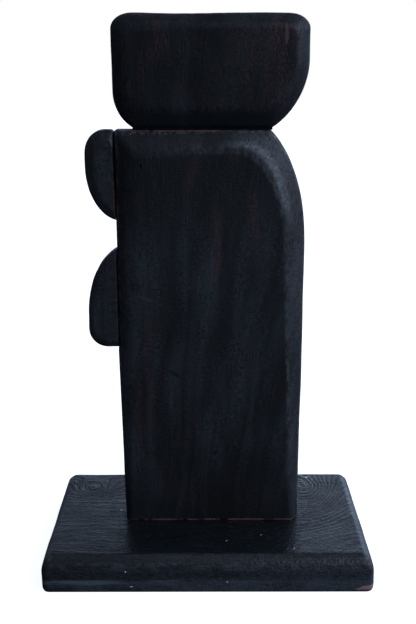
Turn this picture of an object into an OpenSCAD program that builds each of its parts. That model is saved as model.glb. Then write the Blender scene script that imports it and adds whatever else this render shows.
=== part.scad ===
// Abstract standing figure in black-stained plank wood, on a bevelled plinth.
// Millimetres. The origin is on the floor under the centre of the plinth, +Z is up and the figure's
// broad front face looks along -Y. The two D-shaped lobes are on its -X edge.

/* [Plinth] */
// Length of the plinth along X
base_w = 240; // [220:5:300]
// Depth of the plinth along Y
base_d = 140; // [120:5:200]
// Thickness of the plinth
base_h = 28; // [24:1:36]
// How far the bevel round the top of the plinth comes in and down
base_bevel = 6.5; // [3:0.5:9]
// How far the eased edge round the underside comes in and up
base_foot_bevel = 2; // [1:0.5:4]

/* [Torso] */
// Width of the torso plank, and of the head
body_w = 134; // [124:1:144]
// Thickness of the torso and head planks
body_t = 30; // [28:1:36]
// Height of the torso above the plinth
torso_h = 295.5; // [285:0.5:310]
// How far the figure's centre line stands to +X of the plinth's centre
body_x = 2.5; // [0:0.5:8]
// How deep the bevels run into the plank's thickness, from each face
bevel_depth = 6.5; // [4:0.5:8]
// Height of the bevel under the torso's top
torso_top_bevel = 12.5; // [8:0.5:15]
// How far the -X edge comes in at the torso's foot, from the belly lobe down
torso_foot_in = 1.3; // [0:0.1:3]

/* [Head] */
// Height of the head above its neck step
head_h = 74.9; // [70:0.1:110]
// Height of the neck step between torso and head
neck_h = 1.6; // [1:0.1:5]
// Height of the bevel round the top of the head
head_top_bevel = 8; // [4:0.5:12]

/* [Lobes] */
// How far the chest lobe stands out of the torso's edge
chest_out = 20.9; // [18:0.1:26]
// How far the belly lobe stands out of the torso's edge
belly_out = 22.4; // [18:0.1:26]
// How far the lobes' own edges are eased
lobe_ease = 2.5; // [1:0.5:4]

/* [Joinery] */
// Diameter of the dowels in the neck
neck_dowel_d = 8; // [6:1:9]
// Length of the dowels in the neck
neck_dowel_l = 40; // [30:2:50]
// Diameter of the dowels in the lobes
lobe_dowel_d = 6; // [5:1:8]
// Length of the dowels in the lobes
lobe_dowel_l = 30; // [24:2:32]
// Outside diameter of the thread of the screws in the plinth
screw_d = 4.5; // [4:0.5:5]
// Length of the screws in the plinth
screw_l = 60; // [50:5:70]
// Distance between the two screws
screw_span = 70; // [50:5:90]

/* [Hidden] */

stain = "#17191d";
beech = "#c9a878";
steel = "#b9bcc0";

arc_steps = 20;

// Heights of the three planks
torso_z = base_h;
torso_top = torso_z + torso_h;
head_z = torso_top + neck_h;
head_top = head_z + head_h;

// Edges of the planks
left_x = body_x - body_w / 2;
right_x = body_x + body_w / 2;
flat_t = body_t - 2 * bevel_depth;

// The shoulder is a stretch of ellipse that the torso's top cuts off
shoulder_a = 42;
shoulder_b = 87;
shoulder_z = torso_top - 80.5;

// The bevel's inner line on the torso: wide at the top and narrow at the foot
torso_foot_bevel_l = 3.5;
torso_foot_bevel_r = 4.5;
torso_top_bevel_l = 12;
torso_shoulder_bevel = 13.5;
inner_shoulder_a = 36;
inner_shoulder_b = 76;

// Lower corners of the head: a tight one at the left and a wide one at the right
head_left_a = 26.5;
head_left_b = 28;
head_left_z = head_z + 24.2;
head_right_r = 56;
head_right_z = head_z + 46.2;
head_crown_a = 14;
head_crown_b = 10;

// The bevel's inner line on the head
head_side_bevel = 8.1;
head_jaw_bevel = 12;
inner_left_a = 12;
inner_left_b = 14;
inner_right_a = 29.3;
inner_right_b = 34.3;
inner_crown_a = 8;
inner_crown_b = 6;

// How far the neck step stands back from the edge of the head's underside, front and back and at its ends
neck_inset = 1.5;
neck_end_inset = 0.5;

// Chest lobe: flush with the torso's top, round at the top and long at the bottom
chest_crown_a = 14.5;
chest_crown_b = 17;
chest_curve_a = 25;
chest_curve_b = 37;
chest_curve_z = torso_top - 26.5;

// Belly lobe: the same shape turned over and a little larger
belly_curve_a = 32;
belly_curve_b = 50;
belly_curve_z = torso_z + 164;
belly_foot_r = 15;
belly_z = torso_z + 138.2;

// Dowels and screws. Holes are glue-clear by fit_gap all round and end_gap at each end.
fit_gap = 0.05;
end_gap = 1;
flutes = 10;
flute_r = 0.35;
dowel_chamfer = 1;
neck_x = body_x - 6;
neck_dowel_span = 50;
chest_dowels_z = [torso_top - 15, torso_top - 43];
belly_dowels_z = [torso_z + 188, torso_z + 156];
lobe_dowel_in = 13;
screw_recess = 2.5;
screw_head_r = 4.4;
screw_head_h = 3;
screw_shank_r = 1.65;
screw_core_r = 1.45;
screw_plain = 22;
screw_pitch = 2.2;
screw_tip = 5;
countersink_gap = 0.3;

// A stretch of ellipse from one angle to another
function arc(cx, cz, a, b, from, to) =
    [for (i = [0 : arc_steps])
        let (t = from + (to - from) * i / arc_steps)
        [cx + a * cos(t), cz + b * sin(t)]];

// A closed outline in X and Z, sawn through a plank of thickness t that is centred on Y = 0
module plank(outline, t) {
    rotate([90, 0, 0]) linear_extrude(height = t, center = true) polygon(outline);
}

// A plank whose edges are bevelled on both faces, from the outer outline to the inner one
module bevelled_plank(outer, inner, t, depth) {
    hull() {
        plank(outer, t - 2 * depth);
        plank(inner, t);
    }
}

function torso_outer() = concat(
    [[left_x + torso_foot_in, torso_z], [right_x, torso_z]],
    arc(right_x - shoulder_a, shoulder_z, shoulder_a, shoulder_b,
        0, asin((torso_top - shoulder_z) / shoulder_b)),
    [[left_x, torso_top], [left_x, belly_z]]);

function torso_inner() =
    let (top = torso_top - torso_top_bevel,
         side = right_x - torso_shoulder_bevel)
    concat(
        [[left_x + torso_foot_in + torso_foot_bevel_l, torso_z], [right_x - torso_foot_bevel_r, torso_z]],
        arc(side - inner_shoulder_a, top - inner_shoulder_b, inner_shoulder_a, inner_shoulder_b, 0, 90),
        [[left_x + torso_top_bevel_l, top]]);

function head_outer() = concat(
    arc(left_x + head_left_a, head_left_z, head_left_a, head_left_b,
        180, 180 + asin((head_left_z - head_z) / head_left_b)),
    arc(right_x - head_right_r, head_right_z, head_right_r, head_right_r,
        -asin((head_right_z - head_z) / head_right_r), 0),
    arc(right_x - head_crown_a, head_top - head_crown_b, head_crown_a, head_crown_b, 0, 90),
    arc(left_x + head_crown_a, head_top - head_crown_b, head_crown_a, head_crown_b, 90, 180));

function head_inner() =
    let (low = head_z + head_jaw_bevel,
         high = head_top - head_top_bevel,
         left = left_x + head_side_bevel,
         right = right_x - head_side_bevel)
    concat(
        arc(left + inner_left_a, low + inner_left_b, inner_left_a, inner_left_b, 180, 270),
        arc(right - inner_right_a, low + inner_right_b, inner_right_a, inner_right_b, 270, 360),
        arc(right - inner_crown_a, high - inner_crown_b, inner_crown_a, inner_crown_b, 0, 90),
        arc(left + inner_crown_a, high - inner_crown_b, inner_crown_a, inner_crown_b, 90, 180));

// The lobes' outlines come in by e where the face is eased; the glued edge stays put
function chest_outline(e) = concat(
    [[left_x, torso_top - e]],
    arc(left_x - chest_out + chest_crown_a, torso_top - chest_crown_b,
        chest_crown_a - e, chest_crown_b - e, 90, 180),
    arc(left_x - chest_out + chest_curve_a, chest_curve_z, chest_curve_a - e, chest_curve_b - e,
        180, 180 + acos((chest_curve_a - chest_out) / (chest_curve_a - e))));

function belly_outline(e) = concat(
    arc(left_x - belly_out + belly_curve_a, belly_curve_z, belly_curve_a - e, belly_curve_b - e,
        180 - acos((belly_curve_a - belly_out) / (belly_curve_a - e)), 180),
    arc(left_x - belly_out + belly_foot_r, belly_z + belly_foot_r,
        belly_foot_r - e, belly_foot_r - e, 180, 270),
    [[left_x, belly_z + e]]);

// Plinth: a slab with bevelled and eased edges, from three crossed outlines
function base_profile(w) = [
    [-w / 2 + base_foot_bevel, 0], [w / 2 - base_foot_bevel, 0],
    [w / 2, base_foot_bevel], [w / 2, base_h - base_bevel],
    [w / 2 - base_bevel, base_h], [-w / 2 + base_bevel, base_h],
    [-w / 2, base_h - base_bevel], [-w / 2, base_foot_bevel]];

module base_plan(r) {
    square([base_w - 2 * r, base_d], center = true);
    square([base_w, base_d - 2 * r], center = true);
    for (sx = [-1, 1], sy = [-1, 1])
        translate([sx * (base_w / 2 - r), sy * (base_d / 2 - r)]) circle(r = r, $fn = 32);
}

module screw_places() {
    for (side = [-1, 1]) translate([body_x + side * screw_span / 2, 0, screw_recess]) children();
}

// Recess, countersink and clearance hole for one screw, upwards from its head
module screw_hole() {
    head_r = screw_head_r + countersink_gap;
    hole_r = screw_d / 2 + fit_gap;
    translate([0, 0, -screw_recess - 1]) cylinder(h = screw_recess + 1, r = head_r, $fn = 48);
    cylinder(h = screw_head_h, r1 = head_r, r2 = hole_r, $fn = 48);
    cylinder(h = screw_l + end_gap, r = hole_r, $fn = 48);
}

module base_slab() {
    color(stain) difference() {
        intersection() {
            rotate([90, 0, 0]) linear_extrude(height = base_d, center = true)
                polygon(base_profile(base_w));
            rotate([90, 0, 90]) linear_extrude(height = base_w, center = true)
                polygon(base_profile(base_d));
            linear_extrude(height = base_h) base_plan(4);
        }
        screw_places() screw_hole();
    }
}

// A blind hole for one end of a dowel, along +Z
module dowel_hole(d, deep) {
    cylinder(h = deep, r = d / 2 + fit_gap, $fn = 48);
}

module neck_holes(upwards) {
    deep = neck_dowel_l / 2 + end_gap;
    from = upwards ? torso_top - 1 : torso_top - deep;
    for (side = [-1, 1])
        translate([neck_x + side * neck_dowel_span / 2, 0, from]) dowel_hole(neck_dowel_d, deep + 1);
}

// Dowel holes in the glued edge at left_x: into the lobe, or into the torso
module lobe_holes(heights, into_lobe) {
    deep = (into_lobe ? lobe_dowel_in : lobe_dowel_l - lobe_dowel_in) + end_gap;
    for (z = heights)
        translate([left_x + (into_lobe ? 1 : -1), 0, z])
            rotate([0, into_lobe ? -90 : 90, 0]) dowel_hole(lobe_dowel_d, deep + 1);
}

module torso_block() {
    color(stain) difference() {
        bevelled_plank(torso_outer(), torso_inner(), body_t, bevel_depth);
        neck_holes(false);
        lobe_holes(chest_dowels_z, false);
        lobe_holes(belly_dowels_z, false);
        screw_places() screw_hole();
    }
}

module head_block() {
    neck_right = right_x - head_right_r
        + sqrt(pow(head_right_r, 2) - pow(head_right_z - head_z, 2)) - neck_end_inset;
    neck_left = left_x + head_left_a * (1 - sqrt(1 - pow((head_left_z - head_z) / head_left_b, 2)))
        + neck_end_inset;
    color(stain) difference() {
        union() {
            bevelled_plank(head_outer(), head_inner(), body_t, bevel_depth);
            translate([neck_left, -flat_t / 2 + neck_inset, torso_top])
                cube([neck_right - neck_left, flat_t - 2 * neck_inset, neck_h + 1]);
        }
        neck_holes(true);
    }
}

module lobe(outer, inner, heights) {
    color(stain) difference() {
        bevelled_plank(outer, inner, flat_t, lobe_ease);
        lobe_holes(heights, true);
    }
}

// Fluted beech dowel with chamfered ends, standing on Z = 0
module dowel(d, l) {
    r = d / 2;
    color(beech) difference() {
        union() {
            cylinder(h = dowel_chamfer, r1 = r - dowel_chamfer / 2, r2 = r, $fn = 48);
            translate([0, 0, dowel_chamfer]) cylinder(h = l - 2 * dowel_chamfer, r = r, $fn = 48);
            translate([0, 0, l - dowel_chamfer])
                cylinder(h = dowel_chamfer, r1 = r, r2 = r - dowel_chamfer / 2, $fn = 48);
        }
        for (i = [0 : flutes - 1]) rotate(i * 360 / flutes)
            translate([r, 0, -1]) cylinder(h = l + 2, r = flute_r, $fn = 16);
    }
}

module neck_dowel(side) {
    translate([neck_x + side * neck_dowel_span / 2, 0, torso_top - neck_dowel_l / 2])
        dowel(neck_dowel_d, neck_dowel_l);
}

module lobe_dowel(z) {
    translate([left_x - lobe_dowel_in, 0, z]) rotate([0, 90, 0]) dowel(lobe_dowel_d, lobe_dowel_l);
}

// Countersunk wood screw: cross recess, plain shank, ridged thread and a point. The head is at Z = 0.
module base_screw(side) {
    thread_r = screw_d / 2;
    ridges = floor((screw_l - screw_plain - screw_tip) / screw_pitch);
    ridge_end = screw_plain + ridges * screw_pitch;
    profile = concat(
        [[0, 0], [screw_head_r, 0], [screw_head_r, 0.4], [screw_shank_r, screw_head_h],
         [screw_shank_r, screw_plain - 1], [screw_core_r, screw_plain]],
        [for (i = [0 : ridges - 1]) each
            [[screw_core_r, screw_plain + i * screw_pitch + 0.4],
             [thread_r, screw_plain + (i + 0.6) * screw_pitch],
             [screw_core_r, screw_plain + (i + 0.8) * screw_pitch]]],
        [[screw_core_r, ridge_end], [0, screw_l]]);
    translate([body_x + side * screw_span / 2, 0, screw_recess]) color(steel) difference() {
        rotate_extrude($fn = 48) polygon(profile);
        intersection() {
            translate([0, 0, -1]) cylinder(h = 3.4, r1 = 3.1, r2 = 0.9, $fn = 32);
            for (turn = [0, 90]) rotate(turn) cube([6, 1, 8], center = true);
        }
    }
}

base_slab();
torso_block();
head_block();
lobe(chest_outline(0), chest_outline(lobe_ease), chest_dowels_z);  // chest_lobe
lobe(belly_outline(0), belly_outline(lobe_ease), belly_dowels_z);  // belly_lobe
neck_dowel(-1);  // neck_dowel_left
neck_dowel(1);  // neck_dowel_right
lobe_dowel(chest_dowels_z[0]);  // chest_dowel_upper
lobe_dowel(chest_dowels_z[1]);  // chest_dowel_lower
lobe_dowel(belly_dowels_z[0]);  // belly_dowel_upper
lobe_dowel(belly_dowels_z[1]);  // belly_dowel_lower
base_screw(-1);  // base_screw_left
base_screw(1);  // base_screw_right
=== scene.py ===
import math

import bmesh
import bpy
import numpy as np
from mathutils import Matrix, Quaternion, Vector, noise


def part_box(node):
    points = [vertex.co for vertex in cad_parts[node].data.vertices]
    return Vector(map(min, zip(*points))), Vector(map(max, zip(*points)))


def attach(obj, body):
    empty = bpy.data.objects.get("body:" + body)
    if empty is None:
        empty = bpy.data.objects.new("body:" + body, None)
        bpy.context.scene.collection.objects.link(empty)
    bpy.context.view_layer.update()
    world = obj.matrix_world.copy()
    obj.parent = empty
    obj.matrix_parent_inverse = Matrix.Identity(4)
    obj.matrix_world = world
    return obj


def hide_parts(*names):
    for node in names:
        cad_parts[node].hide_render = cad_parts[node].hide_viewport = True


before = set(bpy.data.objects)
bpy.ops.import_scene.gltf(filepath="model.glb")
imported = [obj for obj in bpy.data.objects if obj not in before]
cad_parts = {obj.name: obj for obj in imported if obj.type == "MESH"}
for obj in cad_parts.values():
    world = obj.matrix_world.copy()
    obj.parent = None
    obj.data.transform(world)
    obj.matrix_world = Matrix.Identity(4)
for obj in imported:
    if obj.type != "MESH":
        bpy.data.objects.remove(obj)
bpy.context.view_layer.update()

MM = 0.001


# ---- What the frame says, in millimetres ----

def box_mm(node):
    """The low and high corners of a CAD node's box."""
    low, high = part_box(node)
    return np.array(low) / MM, np.array(high) / MM


base_low, base_high = box_mm("base_slab")
torso_low, torso_high = box_mm("torso_block")
chest_low, chest_high = box_mm("chest_lobe")
belly_low = box_mm("belly_lobe")[0]

left_x, right_x = torso_low[0], torso_high[0]
base_top = base_high[2]
torso_top = torso_high[2]
head_top = box_mm("head_block")[1][2]
plank_half = torso_high[1]
lobe_half = chest_high[1]
bevel_depth = plank_half - lobe_half
neck_height = 1.6
foot_in = 1.3
jaw_z = torso_top + neck_height
chest_facet, belly_facet = 7.0, 5.0  # how wide each lobe's facet is
seam_ease, seam_turn = 1.2, 0.012  # how the facet draws back where a lobe is glued on


# ---- Outlines: each side of a face is a curve, sampled evenly along its length ----

def line(start, end):
    return np.array([start, end], float)


def ellipse(centre, radii, from_deg, to_deg, power=2.0, steps=64):
    """A stretch of ellipse. A power over 2 makes it squarer."""
    angle = np.radians(np.linspace(from_deg, to_deg, steps))
    cosine, sine = np.cos(angle), np.sin(angle)
    x = centre[0] + radii[0] * np.sign(cosine) * np.abs(cosine) ** (2 / power)
    z = centre[1] + radii[1] * np.sign(sine) * np.abs(sine) ** (2 / power)
    return np.stack([x, z], axis=1)


def bow(start, end, height, steps=24):
    """A line that bows to its right by height at the middle."""
    start, end = np.array(start, float), np.array(end, float)
    t = np.linspace(0, 1, steps)[:, None]
    along = end - start
    side = np.array([along[1], -along[0]]) / np.hypot(*along)
    return start + along * t + side * height * 4 * t * (1 - t)


def join(*curves):
    return np.concatenate(curves)


def sampled(curve, count):
    """count + 1 points spaced evenly along a curve."""
    step = np.hypot(*np.diff(curve, axis=0).T)
    length = np.concatenate([[0], np.cumsum(step)])
    wanted = np.linspace(0, length[-1], count + 1)
    return np.stack([np.interp(wanted, length, curve[:, k]) for k in (0, 1)], axis=1)


# ---- The block builder ----

def corner(start, middle, end, steps, wear):
    """A rounded corner of an edge profile: (inset share, depth, wear) along a quadratic curve."""
    points = []
    for t in np.linspace(0, 1, steps):
        a, b, c = (1 - t) ** 2, 2 * t * (1 - t), t * t
        inset = a * start[0] + b * middle[0] + c * end[0]
        depth = a * start[1] + b * middle[1] + c * end[1]
        points.append((inset, depth, wear * math.sin(math.pi * t) ** 0.7))
    return points


def straight(start, end, steps):
    """The points between two profile points, without either of them."""
    inset = np.linspace(start[0], end[0], steps + 2)[1:-1]
    depth = np.linspace(start[1], end[1], steps + 2)[1:-1]
    return [(a, b, 0.0) for a, b in zip(inset, depth)]


def bevel_profile(half, depth, soft, edge, inner_wear, outer_wear):
    """Half of a plank's edge, from its flat face over the bevel to the middle of its side.

    soft is how far the bevel's inner line is rounded and edge how far its outer one is, each as a
    share of the bevel's width."""
    face, side = -half, -(half - depth)
    on_bevel = lambda share: (share, side + (face - side) * share)
    inner = corner((1 + soft, face), (1, face), on_bevel(1 - soft), 9, inner_wear)
    outer = corner(on_bevel(edge), (0, side), (0, side + depth * edge * 1.6), 7, outer_wear)
    return (inner + straight(on_bevel(1 - soft), on_bevel(edge), 7) + outer
            + straight((0, outer[-1][1]), (0, 0), 4) + [(0, 0, 0.0)])


def mirrored(half_profile):
    return half_profile + [(a, -b, w) for a, b, w in half_profile[-2::-1]]


def plank_edge(soft, edge, ridge_wear, rim_wear=1.0):
    return mirrored(bevel_profile(plank_half, bevel_depth, soft, edge, ridge_wear, rim_wear))


def coons(bottom, right, top, left):
    """The grid of points inside four sides. bottom and top run along +a, left and right along +b."""
    u = np.linspace(0, 1, len(bottom))[:, None, None]
    v = np.linspace(0, 1, len(left))[None, :, None]
    across = (1 - v) * bottom[:, None] + v * top[:, None]
    upward = (1 - u) * left[None] + u * right[None]
    corners = ((1 - u) * (1 - v) * bottom[0] + u * (1 - v) * bottom[-1]
               + (1 - u) * v * top[0] + u * v * top[-1])
    return across + upward - corners


def block_mesh(name, outer, inner, profile, cells, place, soft_profile=None, softness=None):
    """A closed all-quad block with a shaped edge.

    outer and inner are the face's outline and the bevel's inner line, four sides each: bottom, right,
    top, left, anticlockwise. Rings of points run round the block, one for each point of profile, and
    a grid fills each face. Where softness(outline) is over 0, the edge moves towards soft_profile."""
    wide, tall = cells
    counts = (wide, tall, wide, tall)
    ring_outer = np.concatenate([sampled(c, n)[:-1] for c, n in zip(outer, counts)])
    ring_inner = np.concatenate([sampled(c, n)[:-1] for c, n in zip(inner, counts)])
    around = len(ring_outer)
    share = softness(ring_outer) if softness else np.zeros(around)
    points, wear = [], []
    for crisp, soft in zip(profile, soft_profile or profile):
        inset, depth, worn = (a + share * (b - a) for a, b in zip(crisp, soft))
        flat = ring_outer + inset[:, None] * (ring_inner - ring_outer)
        points.append(np.column_stack([flat, depth]))
        wear.append(worn)
    faces = []
    for k in range(len(profile) - 1):
        for m in range(around):
            n = (m + 1) % around
            faces.append((k * around + m, (k + 1) * around + m, (k + 1) * around + n, k * around + n))

    def on_ring(i, j):
        """Where a point on the rim of a face's grid comes in the ring."""
        if j == 0:
            return i
        if i == wide:
            return wide + j
        if j == tall:
            return wide + tall + (wide - i)
        return (2 * wide + tall + (tall - j)) % around

    total = len(profile) * around
    for ring in (0, len(profile) - 1):
        edge = points[ring][:, :2]
        loop = np.concatenate([edge, edge[:1]])
        sides = [loop[:wide + 1], loop[wide:wide + tall + 1],
                 loop[wide + tall:2 * wide + tall + 1][::-1], loop[2 * wide + tall:][::-1]]
        grid = coons(*sides)
        index = np.zeros((wide + 1, tall + 1), int)
        inside = []
        for i in range(wide + 1):
            for j in range(tall + 1):
                if 0 < i < wide and 0 < j < tall:
                    index[i, j] = total + len(inside)
                    inside.append((*grid[i, j], profile[ring][1]))
                else:
                    index[i, j] = ring * around + on_ring(i, j)
        points.append(np.array(inside))
        wear.append(np.zeros(len(inside)))
        total += len(inside)
        for i in range(wide):
            for j in range(tall):
                quad = (index[i, j], index[i + 1, j], index[i + 1, j + 1], index[i, j + 1])
                faces.append(quad if ring == 0 else quad[::-1])
    mesh = bpy.data.meshes.new(name)
    mesh.from_pydata(place(np.concatenate(points)) * MM, [], [tuple(map(int, f)) for f in faces])
    worn = mesh.attributes.new("worn", "FLOAT", "POINT")
    worn.data.foreach_set("value", np.concatenate(wear).astype(np.float32))
    mesh.shade_smooth()
    mesh.update()
    return mesh


def as_plank(points):
    """A face in X and Z, with its thickness along Y."""
    return points[:, [0, 2, 1]]


def as_slab(points):
    """A face in X and Y, with its thickness down from the top."""
    return points * (1, 1, -1)


def ripple(co, size, seed):
    """Perlin noise at each point, with bumps of about size millimetres."""
    shift = Vector((seed * 17.3, seed * 5.1, seed * 9.7))
    size = Vector(size) if hasattr(size, "__len__") else Vector((size, size, size))
    return np.array([noise.noise(Vector((c[0] / size[0], c[1] / size[1], c[2] / size[2])) + shift)
                     for c in co])


def carve(mesh, layers, keep):
    """Moves the surface in and out along its normals by layers of noise: (height, size, seed).

    keep(co) is 0 where the surface has to stay, such as a glued face."""
    count = len(mesh.vertices)
    co = np.zeros(count * 3)
    mesh.vertices.foreach_get("co", co)
    co = co.reshape(-1, 3) / MM
    normal = np.zeros(count * 3)
    mesh.vertex_normals.foreach_get("vector", normal)
    normal = normal.reshape(-1, 3)
    height = sum(tall * ripple(co, size, seed) for tall, size, seed in layers)
    co += normal * (height * keep(co))[:, None]
    mesh.vertices.foreach_set("co", (co * MM).ravel())
    mesh.update()


def smooth_step(value, low, high):
    t = np.clip((value - low) / (high - low), 0, 1)
    return t * t * (3 - 2 * t)


def piece(mesh, slot, *nodes):
    """Shows a mesh in place of CAD nodes."""
    thing = bpy.data.objects.new(mesh.name, mesh)
    bpy.context.scene.collection.objects.link(thing)
    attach(thing, "root")
    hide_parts(*nodes)
    return thing


# ---- The pieces ----

def make_torso():
    """The tall plank: a small round at the top left, the long shoulder at the right."""
    foot = base_top
    shoulder_radii, shoulder_drop = (42, 87), 80.5
    shoulder_end = math.degrees(math.asin(shoulder_drop / shoulder_radii[1]))
    shoulder_centre = (right_x - shoulder_radii[0], torso_top - shoulder_drop)
    shoulder = ellipse(shoulder_centre, shoulder_radii, 0, shoulder_end)
    corner_r = (2, 2.5)
    round_left = ellipse((left_x + corner_r[0], torso_top - corner_r[1]), corner_r, 90, 180, steps=13)
    bulge = (left_x - 1.1, belly_low[2] - 1)

    top_bevel, left_top_bevel, left_foot_bevel, right_foot_bevel = 12.5, 12, 3.5, 4.5
    inner_top, left_top = torso_top - top_bevel, left_x + left_top_bevel
    left_foot, right_foot = left_x + foot_in + left_foot_bevel, right_x - right_foot_bevel
    inner_radii, inner_corner_r = (36, 76), (3, 5)
    inner_shoulder = ellipse((right_x - 49.5, inner_top - inner_radii[1]), inner_radii, 0, 90)
    inner_corner = (left_top + inner_corner_r[0], inner_top - inner_corner_r[1])
    split = 50  # where the inner shoulder passes from the right side to the top

    outer = [
        line((left_x + foot_in, foot), (right_x, foot)),
        join(line((right_x, foot), shoulder[0]), shoulder),
        join(line(shoulder[-1], round_left[0]), round_left[:7]),
        join(round_left[6:], line((left_x, belly_low[2] + 2), bulge), line(bulge, (left_x + foot_in, foot))),
    ]
    inner = [
        line((left_foot, foot), (right_foot, foot)),
        join(bow((right_foot, foot), inner_shoulder[0], -1.0), inner_shoulder[:split]),
        join(inner_shoulder[split - 1:], line(inner_shoulder[-1], (inner_corner[0], inner_top)),
             ellipse(inner_corner, inner_corner_r, 90, 150, steps=8)),
        join(ellipse(inner_corner, inner_corner_r, 150, 180, steps=8),
             bow((left_top, inner_top - 6), (left_foot, foot), 1.0)),
    ]

    def softness(ring):
        """Soft down the left, across the top and by the right foot, crisp over the shoulder."""
        right = smooth_step(ring[:, 0], right_x - 45, right_x - 20)
        left = 1 - 0.6 * smooth_step(ring[:, 0], left_x + 6, left_x + 75)
        left *= 1 - right
        left *= 0.65 + 0.35 * smooth_step(ring[:, 1], foot, foot + 60)
        return left + 0.85 * right * (1 - smooth_step(ring[:, 1], foot + 30, foot + 120))

    mesh = block_mesh("torso", outer, inner, plank_edge(0.16, 0.12, 0.6), (72, 150), as_plank,
                      plank_edge(0.62, 0.3, 0.1), softness)
    carve(mesh, [(0.5, (45, 45, 90), 1), (0.26, (16, 16, 34), 2), (0.09, (6, 6, 11), 3)],
          lambda co: smooth_step(co[:, 2], foot, foot + 3) * smooth_step(torso_top - co[:, 2], 0, 1)
          * smooth_step(co[:, 0], left_x, left_x + 1.5))
    return piece(mesh, "torso_wood", "torso_block")


def make_head():
    """The head: two large low corners, and small upper ones that the photograph doesn't show."""
    left_radii, left_rise = (26.5, 28), 24.2
    right_radii, right_rise = (56, 56), 46.2
    left_corner = ellipse((left_x + left_radii[0], jaw_z + left_rise), left_radii, 180,
                          180 + math.degrees(math.asin(left_rise / left_radii[1])))
    right_corner = ellipse((right_x - right_radii[0], jaw_z + right_rise), right_radii,
                           -math.degrees(math.asin(right_rise / right_radii[1])), 0)
    crown = (14, 10)
    crown_right = (right_x - crown[0], head_top - crown[1])
    crown_left = (left_x + crown[0], head_top - crown[1])
    outer = [
        line(left_corner[-1], right_corner[0]),
        join(right_corner, ellipse(crown_right, crown, 0, 45)),
        join(ellipse(crown_right, crown, 45, 90), ellipse(crown_left, crown, 90, 135)),
        join(ellipse(crown_left, crown, 135, 180), left_corner),
    ]

    low_bevel, top_bevel, side_bevel = 12, 8, 8.1
    low, high = jaw_z + low_bevel, head_top - top_bevel
    left, right = left_x + side_bevel, right_x - side_bevel
    inner_crown, inner_left_r, inner_right_r = (8, 6), (12, 14), (29.3, 34.3)
    inner_crown_right = (right - inner_crown[0], high - inner_crown[1])
    inner_crown_left = (left + inner_crown[0], high - inner_crown[1])
    inner_right = ellipse((right - inner_right_r[0], low + inner_right_r[1]), inner_right_r, 270, 360)
    inner_left = ellipse((left + inner_left_r[0], low + inner_left_r[1]), inner_left_r, 180, 270)
    right_split, left_split = 20, 32  # where the low corners pass from the sides to the bottom
    inner = [
        join(inner_left[left_split - 1:], inner_right[:right_split]),
        join(inner_right[right_split - 1:], ellipse(inner_crown_right, inner_crown, 0, 45)),
        join(ellipse(inner_crown_right, inner_crown, 45, 90),
             ellipse(inner_crown_left, inner_crown, 90, 135)),
        join(ellipse(inner_crown_left, inner_crown, 135, 180), inner_left[:left_split]),
    ]

    def softness(ring):
        """Softer to the left."""
        return 0.25 + 0.75 * (1 - smooth_step(ring[:, 0], left_x + 4, left_x + 50))

    mesh = block_mesh("head", outer, inner, plank_edge(0.22, 0.2, 0.15, 0.3), (72, 44), as_plank,
                      plank_edge(0.6, 0.3, 0.1, 0.3), softness)
    carve(mesh, [(0.5, (45, 45, 70), 4), (0.26, (16, 16, 26), 5), (0.09, (6, 6, 11), 6)],
          lambda co: smooth_step(co[:, 2], jaw_z, jaw_z + 1.5))
    add_neck(mesh)
    return piece(mesh, "head_wood", "head_block")


def add_neck(mesh):
    """Draws the neck step down out of the flat under the head."""
    shape = bmesh.new()
    shape.from_mesh(mesh)
    neck_inset, facing_down, flat_slack = 1.5, -0.99, 0.3
    half = lobe_half - neck_inset
    under = [f for f in shape.faces
             if f.normal.z < facing_down and f.calc_center_median().z < (jaw_z + flat_slack) * MM
             and all(abs(v.co.y) <= half * MM for v in f.verts)]
    grown = bmesh.ops.extrude_face_region(shape, geom=under)
    bmesh.ops.delete(shape, geom=under, context="FACES")
    for v in grown["geom"]:
        if isinstance(v, bmesh.types.BMVert):
            v.co.z = torso_top * MM
    # The extrusion gives its faces in no fixed order, so everything is put in order of place.
    for parts, place in ((shape.verts, lambda v: tuple(v.co)),
                         (shape.faces, lambda f: tuple(f.calc_center_median()))):
        order = {part: k for k, part in enumerate(sorted(parts, key=place))}
        parts.sort(key=order.get)
        parts.index_update()
    shape.to_mesh(mesh)
    shape.free()
    mesh.shade_smooth()


def lobe_edge(drop, ridge):
    """A lobe's edge: a wide flat facet that falls by drop, behind a ridge rounded by ridge."""
    face, side = -lobe_half, -(lobe_half - drop)
    rim_share, rim_end = 0.12, side + 1.4
    on_facet = lambda share: (share, side + (face - side) * share)
    over = corner((1 + ridge, face), (1, face), on_facet(1 - ridge), 8, 0.3)
    rim = corner(on_facet(rim_share), (0, side), (0, rim_end), 6, 0.8)
    return mirrored(over + straight(on_facet(1 - ridge), on_facet(rim_share), 4) + rim
                    + straight((0, rim_end), (0, 0), 3) + [(0, 0, 0.0)])


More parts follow.
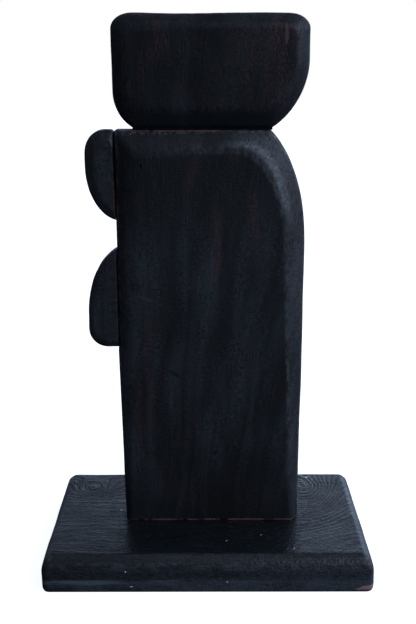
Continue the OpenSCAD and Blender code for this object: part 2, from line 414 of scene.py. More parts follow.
def make_chest_lobe():
    """The upper lobe: level with the torso's top, curving in to the seam below."""
    out, crown, curve, curve_drop = chest_low[0], (14.5, 17), (25, 37), 26.5
    crown_centre = (out + crown[0], torso_top - crown[1])
    curve_centre = (out + curve[0], torso_top - curve_drop)
    turn = math.degrees(math.acos((out + curve[0] - left_x) / curve[0]))
    notch = (2.6, 4.0)

    def outline(e):
        """The lobe's face, e millimetres in."""
        glued = left_x - seam_ease * e / chest_facet
        top = ellipse(crown_centre, (crown[0] - e, crown[1] - e), 90, 180, 2.2)
        low = ellipse(curve_centre, (curve[0] - e, curve[1] - e), 180, 180 + turn * (1 - seam_turn * e))
        low[:, 0] = np.minimum(low[:, 0], glued)
        foot = (glued, low[-1][1])
        shoulder = ellipse((glued - notch[0], torso_top - e - notch[1]), notch, 0, 90, steps=13)
        return [
            join(low[24:], np.array([foot])),
            join(np.array([foot]), shoulder[:7]),
            join(shoulder[6:], top[:30]),
            join(top[29:], low[:25]),
        ]

    profile = lobe_edge(2.6, 0.22)
    mesh = block_mesh("upper_lobe", outline(0), outline(chest_facet), profile, (22, 48), as_plank)
    carve(mesh, [(0.5, 24, 7), (0.2, 9, 8)], lambda co: smooth_step(left_x - co[:, 0], 0, 2))
    return piece(mesh, "lobe_wood", "chest_lobe")


def make_belly_lobe():
    """The lower lobe: a long curve out of the seam, down to a rounded foot."""
    out, curve, curve_rise, foot_r = belly_low[0], (32, 50), 164, 15
    curve_centre = (out + curve[0], base_top + curve_rise)
    low_z = belly_low[2]
    foot_centre = (out + foot_r, low_z + foot_r)
    turn = math.degrees(math.acos((out + curve[0] - left_x) / curve[0]))

    def outline(e):
        """The lobe's face, e millimetres in."""
        glued = left_x - seam_ease * e / belly_facet
        top = ellipse(curve_centre, (curve[0] - e, curve[1] - e), 180 - turn * (1 - seam_turn * e), 180)
        top[:, 0] = np.minimum(top[:, 0], glued)
        low = ellipse(foot_centre, (foot_r - e, foot_r - e), 180, 270, 2.2)
        head = (glued, top[0][1])
        return [
            join(low[30:], np.array([[glued, low_z + e]])),
            line((glued, low_z + e), head),
            join(np.array([head]), top[:40]),
            join(top[39:], low[:31]),
        ]

    profile = lobe_edge(2.4, 0.35)
    mesh = block_mesh("lower_lobe", outline(0), outline(belly_facet), profile, (22, 52), as_plank)
    carve(mesh, [(0.5, 26, 9), (0.2, 9, 10)], lambda co: smooth_step(left_x - co[:, 0], 0, 2))
    return piece(mesh, "lobe_wood", "belly_lobe")


def recess_bars():
    """A round bar under each screw head, up to just past the head's underside."""
    recess_r, sides, floor_gap = 4.7, 64, 0.1
    shape = bmesh.new()
    for name in ("base_screw_left", "base_screw_right"):
        low, high = box_mm(name)
        centre, depth = (low + high) / 2, low[2] + floor_gap
        bar = bmesh.ops.create_cone(shape, cap_ends=True, segments=sides, radius1=recess_r * MM,
                                    radius2=recess_r * MM, depth=2 * depth * MM)
        bmesh.ops.translate(shape, verts=bar["verts"], vec=(centre[0] * MM, centre[1] * MM, 0))
    mesh = bpy.data.meshes.new("recess_bars")
    shape.to_mesh(mesh)
    shape.free()
    return mesh


def cut_recesses(thing):
    """Opens the round recess under each screw head in the plinth's flat underside."""
    bars = recess_bars()
    cutter = bpy.data.objects.new("recess_cutter", bars)
    bpy.context.scene.collection.objects.link(cutter)
    cut = thing.modifiers.new("recesses", "BOOLEAN")
    cut.operation, cut.solver, cut.object = "DIFFERENCE", "EXACT", cutter
    ready = thing.evaluated_get(bpy.context.evaluated_depsgraph_get())
    carved = bpy.data.meshes.new_from_object(ready)
    thing.modifiers.clear()
    bpy.data.objects.remove(cutter)
    bpy.data.meshes.remove(bars)
    smallest_edge, sharp_angle = 0.001, 50
    shape = bmesh.new()
    shape.from_mesh(carved)
    many_sided = [f for f in shape.faces if len(f.verts) > 4]
    bmesh.ops.triangulate(shape, faces=many_sided, ngon_method="BEAUTY")
    bmesh.ops.dissolve_degenerate(shape, dist=smallest_edge * MM, edges=shape.edges)
    shape.to_mesh(carved)
    shape.free()
    carved.set_sharp_from_angle(angle=math.radians(sharp_angle))
    thing.data = carved


def make_base():
    """The plinth: a slab with a bevel round its top and an eased lower edge."""
    half_x, half_y = base_high[0], base_high[1]
    corner_r, least_r, tighter = 4.0, 1.5, 0.3

    def outline(e):
        """The slab's plan, e millimetres in. Each side ends half way round a corner."""
        x, y, r = half_x - e, half_y - e, max(corner_r - tighter * e, least_r)
        turn = lambda sx, sy, start: ellipse((sx * (x - r), sy * (y - r)), (r, r), start, start + 45)
        return [
            join(turn(-1, -1, 225), turn(1, -1, 270)),
            join(turn(1, -1, 315), turn(1, 1, 0)),
            join(turn(1, 1, 45), turn(-1, 1, 90)),
            join(turn(-1, 1, 135), turn(-1, -1, 180)),
        ]

    inset = 6.5
    top, bottom = -base_top, 0.0
    over = corner((1.3, top), (0.98, top), (0.72, top + 1.8), 9, 0.2)
    edge = corner((0.42, top + 3.8), (0.03, top + 6.3), (0, top + 11.5), 11, 0.6)
    foot = corner((0, bottom - 5), (0, bottom - 0.9), (0.26, bottom), 10, 0.8)
    profile = (over + straight((0.72, top + 1.8), (0.42, top + 3.8), 3) + edge
               + straight((0, top + 11.5), (0, bottom - 5), 4) + foot)
    mesh = block_mesh("plinth", outline(0), outline(inset), profile, (120, 70), as_slab)

    def keep(co):
        """0 on the underside and where the torso stands."""
        under_torso = (np.abs(co[:, 0]) < 75) * (np.abs(co[:, 1]) < plank_half + 2) * (co[:, 2] > 20)
        return smooth_step(co[:, 2], 0, 1.5) * (1 - under_torso)

    carve(mesh, [(0.5, (70, 45, 40), 11), (0.2, (22, 16, 16), 12), (0.06, (8, 5, 5), 13)], keep)
    thing = piece(mesh, "base_wood", "base_slab")
    cut_recesses(thing)
    return thing


# ---- Materials ----

class Graph:
    """Short calls that build one material's nodes, with lengths in millimetres."""

    def __init__(self, name):
        self.material = bpy.data.materials.new(name)
        self.material.use_nodes = True
        self.tree = self.material.node_tree
        self.tree.nodes.clear()
        self.at = self.scale(self.add("ShaderNodeTexCoord").outputs["Object"], (1000, 1000, 1000))

    def add(self, kind, inputs=(), **settings):
        node = self.tree.nodes.new(kind)
        for key, value in settings.items():
            setattr(node, key, value)
        for key, value in dict(inputs).items():
            if isinstance(value, bpy.types.NodeSocket):
                self.tree.links.new(value, node.inputs[key])
            else:
                node.inputs[key].default_value = value
        return node

    def scale(self, vector, by, move=(0, 0, 0)):
        node = self.add("ShaderNodeMapping", {"Vector": vector, "Scale": by, "Location": move})
        return node.outputs["Vector"]

    def sizes(self, size, move=(0, 0, 0), at=None):
        """Coordinates in which one unit is size millimetres along each axis."""
        return self.scale(at or self.at, tuple(1 / s for s in size), move)

    def math(self, operation, a, b=0.0, c=0.0, clamp=False):
        node = self.add("ShaderNodeMath", {0: a, 1: b, 2: c}, operation=operation, use_clamp=clamp)
        return node.outputs[0]

    def times(self, value, *factors):
        """The product of some values."""
        for factor in factors:
            value = self.math("MULTIPLY", value, factor)
        return value

    def absolute(self, value):
        return self.math("ABSOLUTE", value)

    def offset(self, value, centre, reach):
        """How far value is from centre, in units of reach."""
        return self.math("DIVIDE", self.math("SUBTRACT", value, centre), reach)

    def squared(self, *offsets):
        """The sum of the squares of some offsets."""
        far = 0.0
        for offset in offsets:
            far = self.math("MULTIPLY_ADD", offset, offset, far)
        return far

    def noise(self, size, move=(0, 0, 0), detail=2.0, rough=0.5, at=None, bend=0.0):
        inputs = {"Vector": self.sizes(size, move, at), "Scale": 1.0, "Detail": detail,
                  "Roughness": rough, "Distortion": bend}
        return self.add("ShaderNodeTexNoise", inputs).outputs["Fac"]

    def span(self, value, low, high, to_low=0.0, to_high=1.0):
        """Smoothly takes low..high to to_low..to_high, and stays there outside."""
        inputs = {"Value": value, "From Min": low, "From Max": high,
                  "To Min": to_low, "To Max": to_high}
        node = self.add("ShaderNodeMapRange", inputs, interpolation_type="SMOOTHSTEP")
        return node.outputs["Result"]

    def mix(self, factor, a, b, blend="MIX"):
        node = self.add("ShaderNodeMix", data_type="RGBA", blend_type=blend)
        for key, value in ((0, factor), (6, a), (7, b)):
            if isinstance(value, bpy.types.NodeSocket):
                self.tree.links.new(value, node.inputs[key])
            else:
                node.inputs[key].default_value = value if key == 0 else (*value, 1)
        return node.outputs[2]

    def attribute(self, name):
        return self.add("ShaderNodeAttribute", attribute_name=name).outputs["Fac"]

    def signed(self, value):
        """Noise, moved to swing about 0."""
        return self.math("SUBTRACT", value, 0.5)

    def wave(self, value, length):
        """A sine of a length in millimetres, from 0 to 1."""
        sine = self.math("SINE", self.times(value, 2 * math.pi / length))
        return self.math("MULTIPLY_ADD", sine, 0.5, 0.5)

    def between(self, value, low, high, fade):
        """1 from low to high, fading to 0 over fade millimetres inside each."""
        return self.times(self.span(value, low, low + fade), self.span(value, high - fade, high, 1.0, 0.0))

    def total(self, *parts, start=0.0):
        """The sum of each value times its weight."""
        for value, weight in parts:
            start = self.math("MULTIPLY_ADD", value, weight, start)
        return start

    def moved(self, **by):
        """The object's coordinates with x, y or z moved by a value."""
        shift = self.add("ShaderNodeCombineXYZ", {key.upper(): value for key, value in by.items()})
        inputs = {0: self.at, 1: shift.outputs[0]}
        return self.add("ShaderNodeVectorMath", inputs, operation="ADD").outputs[0]

    def axis(self, index, at=None):
        return self.add("ShaderNodeSeparateXYZ", {0: at or self.at}).outputs[index]

    def finish(self, colour, roughness, height, bump_mm, **fixed):
        """Closes the material with a Principled shader and a bump of the given height."""
        bump = self.add("ShaderNodeBump", {"Height": height, "Distance": bump_mm * MM, "Strength": 1.0})
        inputs = {"Base Color": colour, "Roughness": roughness, "Normal": bump.outputs["Normal"]}
        shader = self.add("ShaderNodeBsdfPrincipled", {**inputs, **fixed})
        output = self.add("ShaderNodeOutputMaterial")
        self.tree.links.new(shader.outputs[0], output.inputs["Surface"])
        return self.material


def stained_plank(name, seed, lift, gloss, red_low, extras=(), shade_below=None, shade_above=None):
    """Black stain on upright red-brown hardwood.

    Soft bands and fine fibre along Z, short curly flecks across them, red-brown where the stain is
    thin, open pores, and worn edges. lift brightens the wood, gloss is the specular level, and the
    lower red_low is, the more of the stain is thin. Painted shade darkens the colour under the height
    shade_below and over the height shade_above. extras add marks of their own: each takes the graph
    and its fleck pattern, and gives a mask and a colour."""
    g = Graph(name)
    shift = (seed * 3.7, seed * 1.9, seed * 5.3)
    lean = g.noise((55, 55, 140), shift, 1.0)
    slope = g.math("MULTIPLY_ADD", g.axis(0), -0.0013, -0.085)
    sway = g.math("MULTIPLY_ADD", g.axis(2), slope, g.times(lean, 22.0))
    grain_at = g.moved(x=sway)
    broad = g.signed(g.noise((9, 16, 150), shift, 1.0, 0.5, grain_at))
    narrow = g.signed(g.noise((2.6, 5, 60), shift, 2.0, 0.6, grain_at))
    fibre = g.signed(g.noise((0.6, 0.9, 10), shift, 2.0, 0.6, grain_at))
    pores = g.span(g.noise((0.8, 0.9, 8), shift[::-1], 1.0, 0.5, grain_at), 0.60, 0.70)

    curl_at = g.moved(z=g.times(g.noise((4, 6, 9), shift, 1.0), 6.0))
    curl = g.signed(g.noise((3.0, 4, 1.5), shift, 2.5, 0.65, curl_at))
    curled = g.span(g.noise((8, 18, 42), shift[::-1], 1.5, 0.5, grain_at), 0.42, 0.60)
    curl = g.times(curl, g.math("MULTIPLY_ADD", curled, 0.85, 0.3))
    cloud = g.signed(g.noise((26, 30, 50), shift, 2.0))

    tone = g.total((broad, 1.6), (narrow, 0.5), (fibre, 0.35), (curl, 2.0), (cloud, 1.0), start=0.46)
    light = g.span(tone, -0.1, 1.1)
    dark_wood = tuple(lift * c for c in (0.0035, 0.0040, 0.0050))
    light_wood = tuple(lift * c for c in (0.0320, 0.0370, 0.0425))
    colour = g.mix(g.math("POWER", light, 1.3), dark_wood, light_wood)
    hue = g.span(g.noise((12, 20, 26), shift[::-1], 2.0), 0.36, 0.64)
    cool, warm = (0.96, 1.03, 0.99), (1.26, 0.96, 1.02)
    colour = g.mix(1.0, colour, g.mix(hue, cool, warm), "MULTIPLY")
    # Painted shade: the colour is darkened to 0.45 times under shade_below and over shade_above, with a
    # ragged edge.
    if shade_below is not None:
        ragged = g.math("MULTIPLY_ADD", cloud, 60.0, g.axis(2))
        thick = g.math("SUBTRACT", 1.0, g.between(ragged, shade_below, shade_above, 60))
        colour = g.mix(thick, colour, g.mix(1.0, colour, (0.45, 0.45, 0.45), "MULTIPLY"))

    fleck = g.span(g.noise((1.3, 2.2, 2.4), shift, 2.0, 0.6), 0.42, 0.64)
    red_noise = g.noise((7, 12, 60), (seed * 2.2, 4.4, seed), 2.0, 0.5, grain_at)
    red_band = g.span(red_noise, red_low, red_low + 0.16)
    red = g.times(red_band, g.math("MULTIPLY_ADD", fleck, 0.75, 0.1))
    colour = g.mix(red, colour, (0.052, 0.0215, 0.0245))
    colour = g.mix(g.times(pores, 0.7), colour, (0.0015, 0.0017, 0.0022))

    rubbed = g.span(g.noise((3, 3, 7), shift, 3.0, 0.6), 0.44, 0.60)
    worn = g.times(g.attribute("worn"), rubbed)
    colour = g.mix(g.times(worn, 0.8), colour, (0.085, 0.082, 0.092))
    for extra in extras:
        mask, paint = extra(g, fleck)
        colour = g.mix(mask, colour, paint)

    rough = g.total((light, -0.12), (curl, -0.30), (pores, 0.25), (worn, -0.15), start=0.52)
    height = g.total((fibre, 0.30), (narrow, 0.55), (broad, 0.4), (curl, 0.95), (pores, -0.35))
    return g.finish(colour, rough, height, 0.26, **{"Specular IOR Level": gloss})


def along(axis, level, thick, across=None, low=0.0, high=0.0, fade=4.0, patchy=(9, 9, 9)):
    """A ragged line at level millimetres along an axis, from low to high along the axis across."""
    def mask(g, fleck):
        where = g.axis(axis)
        ragged = g.math("MULTIPLY_ADD", g.noise((3, 3, 3), (1, 2, 3), 2.0), 1.4, level - 0.7)
        off = g.absolute(g.math("SUBTRACT", where, ragged))
        broken = g.span(g.noise(patchy, (7, 1, 4), 2.0), 0.34, 0.56)
        line = g.times(g.span(off, thick * 0.4, thick, 1.0, 0.0), broken)
        if across is not None:
            line = g.times(line, g.between(g.axis(across), low, high, fade))
        return line
    return mask


def painted(mask, colour, strength=1.0):
    """Gives a mask a colour, as one of a plank's extras."""
    return lambda g, fleck: (g.times(mask(g, fleck), strength), colour)


def red_streak(x, wide, low, high):
    """A band of thin stain that runs up the front between two heights, made of reddish flecks."""
    def mask(g, fleck):
        sway = g.math("MULTIPLY_ADD", g.noise((20, 20, 34), (4, 4, 1), 1.0), 10.0, x - 5.0)
        off = g.absolute(g.math("SUBTRACT", g.axis(0), sway))
        inside = g.times(g.span(off, wide * 0.35, wide, 1.0, 0.0), g.between(g.axis(2), low, high, 18))
        return g.times(inside, g.math("MULTIPLY_ADD", fleck, 0.9, 0.1))
    return mask


def spot(x, z, wide, tall, slant=0.0):
    """A soft spot on the front, slanted by slant millimetres of height for each one across."""
    def mask(g, fleck):
        height = g.math("MULTIPLY_ADD", g.math("SUBTRACT", g.axis(0), x), -slant, g.axis(2))
        far = g.squared(g.offset(g.axis(0), x, wide), g.offset(height, z, tall))
        front = g.span(g.axis(1), -6, -9)
        return g.times(g.span(far, 0.3, 1.3, 1.0, 0.0), front)
    return mask


def shoulder_wear_and_highlight(g, fleck):
    """The bevel over the shoulder, painted pale in short broken flecks, most of all along its ridge: partly
    wear, partly painted highlight.
    """
    off = g.absolute(g.axis(1))
    ridge = g.between(off, plank_half - 3.4, plank_half - 0.4, 1.1)
    beside_face = g.span(off, plank_half - 0.4, plank_half - 1.5)
    place = g.times(g.between(g.axis(0), right_x - 66, right_x + 6, 30),
                    g.between(g.axis(2), torso_top - 74, torso_top + 14, 26))
    bevel = g.times(beside_face, g.math("MULTIPLY_ADD", ridge, 0.6, 0.4))
    return g.times(bevel, place, g.math("MULTIPLY_ADD", fleck, 0.6, 0.4))


def thin_corner(g, fleck):
    """Thin stain towards the head's right, most of all high up."""
    right = g.span(g.axis(0), -22, 62)
    high = g.span(g.axis(2), jaw_z + 6, head_top - 14, 0.45, 1.0)
    field = g.signed(g.noise((9, 14, 30), (3, 9, 3), 2.0))
    patch = g.total((field, 1.6), (fleck, 0.8), start=g.times(right, high))
    on_face = g.span(g.absolute(g.axis(1)), plank_half - 2.0, plank_half - 0.8)
    return g.times(g.span(patch, 0.75, 2.0), on_face)


def shade_under_jaw(g, fleck):
    """The bevel under the head, painted one even colour as painted shade."""
    return g.span(g.math("MULTIPLY_ADD", g.axis(0), -0.02, g.axis(2)), jaw_z + 13, jaw_z + 8)


# Each knot in the plinth's top: x, y, how far it reaches along each, and how much it lifts the grain.
KNOTS = ((-95, 37, 18, 15, 32), (80, 30, 21, 36, 62))

# Each pale speck on the plinth: x, y, z and how far it reaches along each.
SPECKS = ((14, -45, 29, 0.8, 0.5, 2), (40, -37, 29, 0.7, 0.45, 2), (63, -56, 29, 0.8, 0.5, 2),
          (84, 57, 29, 1.9, 1.2, 2), (-68, 1, 29, 1.5, 1.0, 2), (88, 52, 29, 0.7, 0.5, 2),
          (-59, -70, 17.5, 0.6, 2, 0.6), (-55, -70, 5.3, 1.2, 2, 0.4), (14, -70, 9.1, 0.6, 2, 0.6))


def slab_grain(g, x, y, z):
    """A field whose level lines are the plinth's grain, how near a knot is, and the knots' cores."""
    slant_from, slant = 46.0, -0.6
    beyond = g.math("MAXIMUM", g.math("SUBTRACT", x, slant_from), 0.0)
    broad = g.noise((80, 34, 40), (3, 8, 1), 1.0)
    field = g.total((broad, 22.0), (g.times(beyond, slant), 1.0), (z, 0.7), (y, 1.0))
    near, core = 0.0, 0.0
    for cx, cy, wide, tall, lift in KNOTS:
        far = g.squared(g.offset(x, cx, wide), g.offset(y, cy, tall))
        field = g.math("MULTIPLY_ADD", g.math("EXPONENT", g.times(far, -1.0)), lift, field)
        near = g.math("MAXIMUM", g.span(far, 0.8, 4.0, 1.0, 0.0), near)
        core = g.math("MAXIMUM", g.span(far, 0.02, 0.16, 1.0, 0.0), core)
    waver = g.signed(g.noise((15, 7, 8), (5, 5, 5), 2.0))
    return g.math("MULTIPLY_ADD", waver, 6.0, field), g.math("MULTIPLY_ADD", near, 0.8, 0.2), core


def end_rim_highlight(g, x, z, hair):
    """The upper edge of both ends, painted pale blue-white in strokes along the grain: a painted highlight.
    """
    edge = g.span(g.absolute(x), base_high[0] - 8.5, base_high[0] - 5.5)
    level = g.between(z, base_top - 4.5, base_top + 2, 1.5)
    return g.times(edge, level, g.span(hair, -0.25, 0.2, 0.15, 0.55))


def floor_reflection_strip(g, x, z, light):
    """A pale strip low on the flanks, broken into patches and strongest to the left, and a lightening
    towards their bottom edge: painted reflection of the floor.
    """
    broken = g.span(g.noise((44, 12, 6), (2, 6, 2), 3.0), 0.36, 0.58)
    strip = g.times(g.between(z, 5.2, 11.6, 2.2), broken, g.span(x, -100, 70, 1.0, 0.35))
    # Painted reflection of the floor: lighter towards the bottom edge of the flanks.
    below = g.times(g.span(z, 15, 7), g.math("MULTIPLY_ADD", light, 0.3, 0.12))
    return g.math("MAXIMUM", strip, below)


def bare_sliver(g, x, y, z):
    """Bare wood along the low edge at the front right corner."""
    corner_x, corner_y = base_high[0], base_low[1]
    place = g.times(g.span(x, corner_x - 20, corner_x - 1), g.span(y, corner_y + 20, corner_y + 8))
    ragged = g.math("MULTIPLY_ADD", g.signed(g.noise((5, 5, 2), (3, 3, 7), 3.0)), 4.0, z)
    off = g.absolute(g.math("SUBTRACT", ragged, g.math("MULTIPLY_ADD", place, 2.6, 2.2)))
    return g.span(g.math("SUBTRACT", g.times(place, 2.4), off), 0.0, 0.8)


def left_rim(g, x, flank, curl):
    """Reddish flecks on the left end."""
    end = g.span(x, base_low[0] + 2.6, base_low[0] + 0.8)
    return g.times(end, g.span(curl, -0.15, 0.2), flank, 0.5)


def dust(g, x, y, z):
    """A pale speck at each place in SPECKS."""
    specks = 0.0
    for cx, cy, cz, wide, deep, tall in SPECKS:
        far = g.squared(g.offset(x, cx, wide), g.offset(y, cy, deep), g.offset(z, cz, tall))
        specks = g.math("MAXIMUM", g.span(far, 0.6, 1.2, 1.0, 0.0), specks)
    return specks


def stained_slab(name):
    """Black stain on the plinth. The grain runs along X, sweeps round a knot near each back corner and
    slants at the right. The flanks are curly and mottled, and painted much lighter than the top as
    painted light. Their low edge carries a painted reflection of the floor, and the upper edge of both
    ends a painted highlight."""
    g = Graph(name)
    x, y, z = g.axis(0), g.axis(1), g.axis(2)
    side = g.span(z, base_top - 5, base_top - 12)
    flank = g.span(z, base_top - 0.5, base_top - 3)

    field, near, core = slab_grain(g, x, y, z)
    rings = g.times(g.signed(g.wave(field, 7.5)), near)
    fine = g.times(g.signed(g.wave(field, 2.9)), near)
    flow = g.moved(y=g.math("SUBTRACT", field, y))
    hair = g.signed(g.noise((12, 0.9, 0.8), (2, 2, 9), 2.0, 0.6, flow))
    streak = g.signed(g.noise((26, 3.6, 3), (6, 2, 9), 2.5, 0.6, flow))
    streak = g.times(streak, g.math("MULTIPLY_ADD", flank, -0.55, 1.0))
    blotch = g.signed(g.noise((4, 3.2, 3), (6, 6, 1), 2.0, 0.6))
    curl = g.signed(g.noise((1.9, 2.2, 1.4), (4, 7, 2), 2.5, 0.65))
    curl = g.times(curl, g.math("MULTIPLY_ADD", flank, g.span(x, -70, 60, 0.3, 1.3), 0.5))
    pores = g.span(g.noise((7, 0.9, 0.9), (9, 1, 2), 1.0), 0.60, 0.70)
    patch = g.signed(g.noise((34, 20, 20), (4, 2, 2), 2.0, 0.55))

    tone = g.total((rings, 0.5), (fine, 0.25), (hair, 0.5), (streak, 0.7), (blotch, 0.9), (curl, 1.0),
                   (patch, 1.3), (core, -0.35), (g.times(flank, x), 0.0016), start=0.46)
    light = g.span(tone, 0.0, 0.95)
    # Painted light: the flanks get a far lighter colour than the top, lit and shaded copies of one stain.
    dark_wood = g.mix(side, (0.0007, 0.0009, 0.0013), (0.0060, 0.0070, 0.0095))
    light_wood = g.mix(side, (0.0090, 0.0110, 0.0135), (0.0370, 0.0430, 0.0530))
    colour = g.mix(light, dark_wood, light_wood)
    red = g.times(g.span(g.noise((5, 4, 2), (8, 8, 8), 3.0), 0.54, 0.68), g.times(flank, 0.3))
    rubbed = g.span(g.noise((9, 4, 4), (1, 1, 6), 3.0, 0.6), 0.46, 0.62)
    for mask, paint in (
            (red, (0.0600, 0.0300, 0.0370)),
            (g.times(pores, 0.6), (0.0018, 0.0020, 0.0028)),
            (g.times(g.attribute("worn"), rubbed, 0.6), (0.075, 0.072, 0.080)),
            # Painted highlight along the upper edge of both ends.
            (end_rim_highlight(g, x, z, hair), (0.110, 0.128, 0.150)),
            # Painted reflection of the floor, low on the flanks.
            (g.times(floor_reflection_strip(g, x, z, light), 0.85), (0.105, 0.120, 0.135)),
            (bare_sliver(g, x, y, z), (0.34, 0.19, 0.19)),
            (left_rim(g, x, flank, curl), (0.150, 0.062, 0.064)),
            (dust(g, x, y, z), (0.66, 0.66, 0.66))):
        colour = g.mix(mask, colour, paint)

    crease = g.between(g.absolute(y), base_high[1] - 7.6, base_high[1] - 2.6, 1.6)
    crease = g.times(crease, g.span(z, base_top - 3.0, base_top - 1.4))
    rough = g.total((rings, -0.20), (streak, -0.36), (blotch, -0.3), (patch, -0.45), (pores, 0.2),
                    (curl, -0.2), (flank, 0.08), (crease, 0.35), start=0.32)
    height = g.total((hair, 0.4), (rings, 0.9), (fine, 0.5), (streak, 0.7), (blotch, 0.8), (curl, 0.8),
                     (pores, -0.3))
    return g.finish(colour, rough, height, 0.36, **{"Specular IOR Level": 0.5})


def beech(name):
    """Plain beech: pale pink-brown with short dark flecks."""
    g = Graph(name)
    grain = g.noise((1.2, 1.2, 30), (1, 2, 3), 3.0)
    fleck = g.span(g.noise((0.5, 0.5, 3), (5, 2, 3), 1.0), 0.60, 0.70)
    colour = g.mix(grain, (0.42, 0.25, 0.12), (0.66, 0.47, 0.29))
    colour = g.mix(g.times(fleck, 0.6), colour, (0.24, 0.12, 0.06))
    rough = g.math("MULTIPLY_ADD", grain, 0.15, 0.5)
    return g.finish(colour, rough, grain, 0.05)


def zinc(name):
    """Zinc-plated steel, faintly mottled."""
    g = Graph(name)
    mottle = g.noise((0.8, 0.8, 0.8), (1, 2, 3), 3.0)
    colour = g.mix(mottle, (0.46, 0.47, 0.50), (0.62, 0.62, 0.60))
    rough = g.math("MULTIPLY_ADD", mottle, 0.2, 0.25)
    return g.finish(colour, rough, mottle, 0.01, Metallic=1.0)


def dress(thing, material):
    thing.data.materials.clear()
    thing.data.materials.append(material)


torso, head = make_torso(), make_head()
chest, belly = make_chest_lobe(), make_belly_lobe()
plinth = make_base()

pink, orange, brown = (0.085, 0.033, 0.038), (0.105, 0.040, 0.022), (0.10, 0.052, 0.052)
foot_pink, knot_dark = (0.27, 0.125, 0.118), (0.002, 0.002, 0.002)
# The torso: painted shade darkens its colour near the foot and the top, and the shoulder bevel has wear and
# a painted highlight.
dress(torso, stained_plank("torso_stain_and_painted_light", 1.0, 1.0, 0.40, 0.60, (
    painted(red_streak(6, 4, 205, 275), pink, 0.6),
    painted(red_streak(34, 3.5, 225, 292), pink, 0.4),
    painted(red_streak(-42, 4, 95, 215), pink, 0.35),
    painted(spot(-24, 148, 4.5, 1.8, -0.5), knot_dark, 0.75),
    painted(spot(6, 85, 3, 2, 0.4), knot_dark, 0.75),
    painted(spot(-44, 205, 6, 1.4, -0.35), (0.100, 0.070, 0.082), 0.28),
    painted(spot(-52, 214, 5, 4, 0.0), knot_dark, 0.45),
    # Wear and a painted highlight on the shoulder bevel.
    painted(shoulder_wear_and_highlight, (0.160, 0.172, 0.185), 0.85),
    painted(along(2, base_top + 0.5, 1.1), foot_pink),
    painted(along(2, torso_top - 0.2, 1.1, 0, left_x - 5, 12), foot_pink, 0.5),
), base_top + 20, torso_top - 34))
dress(head, stained_plank("head_stain_and_painted_shade", 2.0, 0.60, 0.27, 0.58, (
    painted(thin_corner, (0.066, 0.029, 0.033), 0.75),
    # Painted shade: one even colour on the bevel under the head.
    painted(shade_under_jaw, (0.0095, 0.0120, 0.0138), 0.75),
    painted(spot(53, 386, 1.3, 7, 0.0), (0.16, 0.085, 0.088), 0.5),
)))
lobe_stain_and_painted_light = stained_plank("lobe_stain_and_painted_light", 3.0, 1.1, 0.40, 0.68, (
    # Painted shade: a dark patch at the upper lobe's top left, where its face turns away from the light.
    painted(spot(-79, 312, 10, 8, 0.6), (0.0028, 0.0042, 0.0048), 0.65),
    # Painted light: a lighter patch low in the upper lobe, where its face turns towards the light.
    painted(spot(-70, 286, 4, 13, 0.0), (0.0300, 0.0370, 0.0375), 0.4),
    # Painted highlight: a small pale wedge at the notch between the upper lobe and the torso.
    painted(spot(-66, 317, 1.7, 4.5, -1.2), (0.100, 0.116, 0.120), 0.5),
    painted(along(0, left_x - 0.8, 0.65, 2, 256, 290, patchy=(8, 8, 5)), orange, 0.85),
    painted(along(0, left_x - 0.8, 0.6, 2, 172, 212, patchy=(8, 8, 5)), brown, 0.55),
))
dress(chest, lobe_stain_and_painted_light)
dress(belly, lobe_stain_and_painted_light)
dress(plinth, stained_slab("plinth_stain_and_painted_light"))

dowel_beech, screw_zinc = beech("dowel_beech"), zinc("screw_zinc")
for name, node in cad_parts.items():
    if "dowel" in name:
        dress(node, dowel_beech)
    if "screw" in name:
        dress(node, screw_zinc)


# ---- Floor, light and camera ----

def make_floor():
    """A pale floor that glows a little, and that neither lights the object nor shows in its gloss."""
    mesh = bpy.data.meshes.new("floor")
    size = 6.0
    corners = [(-size, -size, 0), (size, -size, 0), (size, size, 0), (-size, size, 0)]
    mesh.from_pydata(corners, [], [(0, 1, 2, 3)])
    floor = bpy.data.objects.new("floor", mesh)
    bpy.context.scene.collection.objects.link(floor)
    paint = bpy.data.materials.new("floor_paint")
    paint.use_nodes = True
    shader = paint.node_tree.nodes["Principled BSDF"]
    shader.inputs["Base Color"].default_value = (0.9, 0.9, 0.9, 1)
    shader.inputs["Roughness"].default_value = 1.0
    shader.inputs["Specular IOR Level"].default_value = 0.0
    shader.inputs["Emission Color"].default_value = (1, 1, 1, 1)
    shader.inputs["Emission Strength"].default_value = 0.86
    mesh.materials.append(paint)
    floor.visible_glossy = False
    floor.visible_diffuse = False


def soft_box(name, place, aim, size, power, tint=(1, 1, 1)):
    """A rectangular area light at a place, turned towards aim."""
    light = bpy.data.lights.new(name, "AREA")
    light.shape = "RECTANGLE"
    light.size, light.size_y = size
    light.energy = power
    light.color = tint
    lamp = bpy.data.objects.new(name, light)
    lamp.location = place
    lamp.rotation_euler = (Vector(aim) - Vector(place)).to_track_quat("-Z", "Y").to_euler()
    bpy.context.scene.collection.objects.link(lamp)


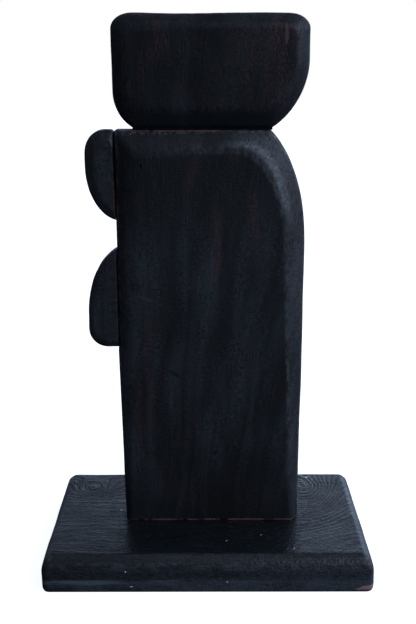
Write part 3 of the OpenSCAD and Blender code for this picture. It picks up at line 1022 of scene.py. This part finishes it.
def make_world():
    """White to the camera. To everything else a dim room: brighter above, behind and to the right."""
    world = bpy.data.worlds.new("room")
    bpy.context.scene.world = world
    world.use_nodes = True
    tree = world.node_tree
    tree.nodes.clear()
    add, link = tree.nodes.new, tree.links.new
    where = add("ShaderNodeTexCoord")
    split = add("ShaderNodeSeparateXYZ")
    link(where.outputs["Generated"], split.inputs[0])

    def ramp(axis, low, high, to_low, to_high):
        node = add("ShaderNodeMapRange")
        node.interpolation_type = "SMOOTHSTEP"
        link(split.outputs[axis], node.inputs["Value"])
        for key, value in (("From Min", low), ("From Max", high), ("To Min", to_low), ("To Max", to_high)):
            node.inputs[key].default_value = value
        return node.outputs["Result"]

    def combine(operation, a, b):
        node = add("ShaderNodeMath")
        node.operation = operation
        link(a, node.inputs[0])
        link(b, node.inputs[1])
        return node.outputs[0]

    upward = combine("MULTIPLY", ramp(2, -0.8, 0.9, 0.03, 0.30), ramp(1, 0.05, 0.6, 1.0, 0.45))
    behind = combine("MULTIPLY", ramp(1, 0.72, 0.97, 0.0, 0.55), ramp(0, -0.25, 0.25, 0.80, 1.60))
    behind = combine("MULTIPLY", behind, ramp(2, -0.25, 0.12, 0.6, 1.0))
    sideways = ramp(0, -0.9, 0.9, 0.45, 1.55)
    window = combine("MULTIPLY", ramp(0, 0.35, 0.95, 0.0, 1.0), ramp(2, -0.05, 0.7, 0.33, 2.2))
    window = combine("MULTIPLY", window, ramp(2, -0.55, -0.22, 0.4, 1.0))
    strength = combine("ADD", combine("MULTIPLY", combine("ADD", upward, behind), sideways), window)
    room = add("ShaderNodeBackground")
    room.inputs["Color"].default_value = (0.74, 0.93, 1.28, 1)
    link(strength, room.inputs["Strength"])
    paper = add("ShaderNodeBackground")
    paper.inputs["Color"].default_value = (1, 1, 1, 1)
    paper.inputs["Strength"].default_value = 1.0
    rays = add("ShaderNodeLightPath")
    choose = add("ShaderNodeMixShader")
    link(rays.outputs["Is Camera Ray"], choose.inputs[0])
    link(room.outputs[0], choose.inputs[1])
    link(paper.outputs[0], choose.inputs[2])
    link(choose.outputs[0], add("ShaderNodeOutputWorld").inputs["Surface"])


def make_camera():
    """The photograph's view: in front, above the head, looking down a little."""
    data = bpy.data.cameras.new("camera")
    data.sensor_width = 36.0
    data.lens = 51.6
    data.clip_start, data.clip_end = 0.05, 20.0
    camera = bpy.data.objects.new("camera", data)
    down, turn = math.radians(16.26), math.radians(0.1)
    aside, away, height = 0.0005, 0.5628, 0.3755
    camera.location = (aside, base_low[1] * MM - away, height)
    camera.rotation_mode = "QUATERNION"
    look = Vector((0, math.cos(down), -math.sin(down))).to_track_quat("-Z", "Y")
    camera.rotation_quaternion = look @ Quaternion((0, 0, 1), -turn)
    bpy.context.scene.collection.objects.link(camera)
    bpy.context.scene.camera = camera


make_floor()
make_world()
soft_box("key_right", (0.85, -0.85, 0.85), (0.02, 0, 0.26), (0.45, 0.45), 3.0, (0.85, 0.95, 1.1))
make_camera()
bpy.context.scene.view_settings.view_transform = "Standard"
